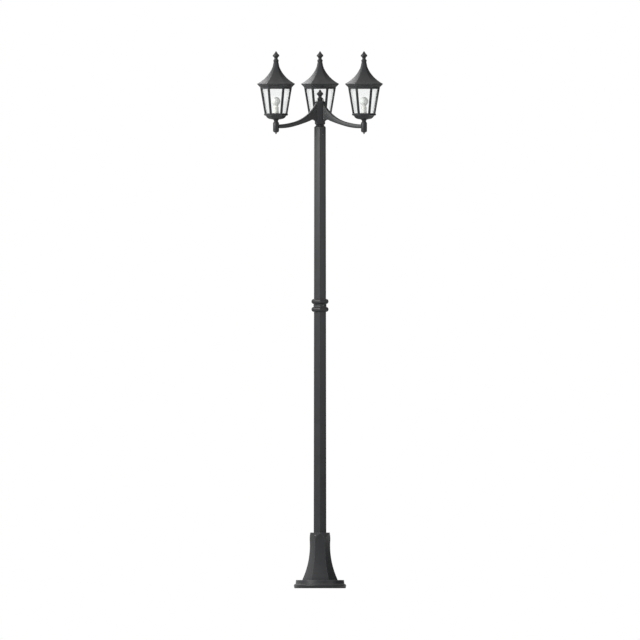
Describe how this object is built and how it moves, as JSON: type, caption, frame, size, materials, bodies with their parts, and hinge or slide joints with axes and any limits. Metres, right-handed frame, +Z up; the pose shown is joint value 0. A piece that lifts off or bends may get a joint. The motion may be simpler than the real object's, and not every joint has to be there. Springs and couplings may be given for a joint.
{
  "type": "triple head lamp post",
  "caption": "Garden lamp post: a hexagonal pole on a round plinth, whose curved arms carry six-sided glass lanterns with lift-off witch-hat roofs.",
  "frame": {"origin": "centre of the anchor bolt circle on the underside of the ground plate", "axes": "+Z up the post, +Y towards the rear lantern, +X towards the right lantern, the front view looks along +Y"},
  "size_m": [0.7938, 0.6874, 3.384],
  "materials": {
    "black_coat": "satin black powder coat on cast and extruded aluminium",
    "galvanised_steel": "hot-dip galvanised steel plate",
    "zinc_steel": "zinc-plated steel",
    "raw_aluminium": "mill-finish aluminium tube",
    "terminal_plastic": "moulded grey plastic",
    "earth_brass": "bright brass",
    "pane_glass": "clear float glass",
    "porcelain": null,
    "cap_metal": "plated lamp cap",
    "bulb_glass": "soft white bulb glass"
  },
  "bodies": {
    "post": {"base_plate": "galvanised_steel", "plinth": "black_coat", "pedestal": "black_coat", "pedestal_screws": "zinc_steel", "terminal_box": "terminal_plastic", "terminal_box_lid": "terminal_plastic", "earth_stud": "earth_brass", "pole_lower": "black_coat", "pole_upper": "black_coat", "pole_joint_sleeve": "raw_aluminium", "pole_joint_screws": "zinc_steel", "mid_collar": "black_coat", "collar_screws": "zinc_steel", "head_column": "black_coat", "column_screws": "zinc_steel", "head_finial": "black_coat", "roof_screws": "zinc_steel", "lantern_lock_nuts": "zinc_steel", "arm_rear": "black_coat", "arm_cap_rear": "black_coat", "lantern_rear_bowl": "black_coat", "lantern_rear_cage": "black_coat", "lantern_rear_glass_panes": "pane_glass", "lantern_rear_cornice": "black_coat", "lantern_rear_tray": "black_coat", "lantern_rear_lamp_holder": "porcelain", "lantern_rear_nipple": "zinc_steel", "arm_left": "black_coat", "arm_cap_left": "black_coat", "lantern_left_bowl": "black_coat", "lantern_left_cage": "black_coat", "lantern_left_glass_panes": "pane_glass", "lantern_left_cornice": "black_coat", "lantern_left_tray": "black_coat", "lantern_left_lamp_holder": "porcelain", "lantern_left_nipple": "zinc_steel", "arm_right": "black_coat", "arm_cap_right": "black_coat", "lantern_right_bowl": "black_coat", "lantern_right_cage": "black_coat", "lantern_right_glass_panes": "pane_glass", "lantern_right_cornice": "black_coat", "lantern_right_tray": "black_coat", "lantern_right_lamp_holder": "porcelain", "lantern_right_nipple": "zinc_steel"},
    "roof_rear": {"lantern_rear_roof": "black_coat", "lantern_rear_finial": "black_coat"},
    "bulb_rear": {"lantern_rear_bulb_cap": "cap_metal", "lantern_rear_bulb_glass": "bulb_glass"},
    "roof_left": {"lantern_left_roof": "black_coat", "lantern_left_finial": "black_coat"},
    "bulb_left": {"lantern_left_bulb_cap": "cap_metal", "lantern_left_bulb_glass": "bulb_glass"},
    "roof_right": {"lantern_right_roof": "black_coat", "lantern_right_finial": "black_coat"},
    "bulb_right": {"lantern_right_bulb_cap": "cap_metal", "lantern_right_bulb_glass": "bulb_glass"}
  },
  "joints": [
    {"name": "roof_rear_lift", "type": "slide", "parent": "post", "child": "roof_rear", "axis": [0, 0, 1], "range_m": [0, 0.15]},
    {"name": "bulb_rear_unscrew", "type": "slide", "parent": "post", "child": "bulb_rear", "axis": [0, 0, 1], "range_m": [0, 0.032]},
    {"name": "roof_left_lift", "type": "slide", "parent": "post", "child": "roof_left", "axis": [0, 0, 1], "range_m": [0, 0.15]},
    {"name": "bulb_left_unscrew", "type": "slide", "parent": "post", "child": "bulb_left", "axis": [0, 0, 1], "range_m": [0, 0.032]},
    {"name": "roof_right_lift", "type": "slide", "parent": "post", "child": "roof_right", "axis": [0, 0, 1], "range_m": [0, 0.15]},
    {"name": "bulb_right_unscrew", "type": "slide", "parent": "post", "child": "bulb_right", "axis": [0, 0, 1], "range_m": [0, 0.032]}
  ]
}
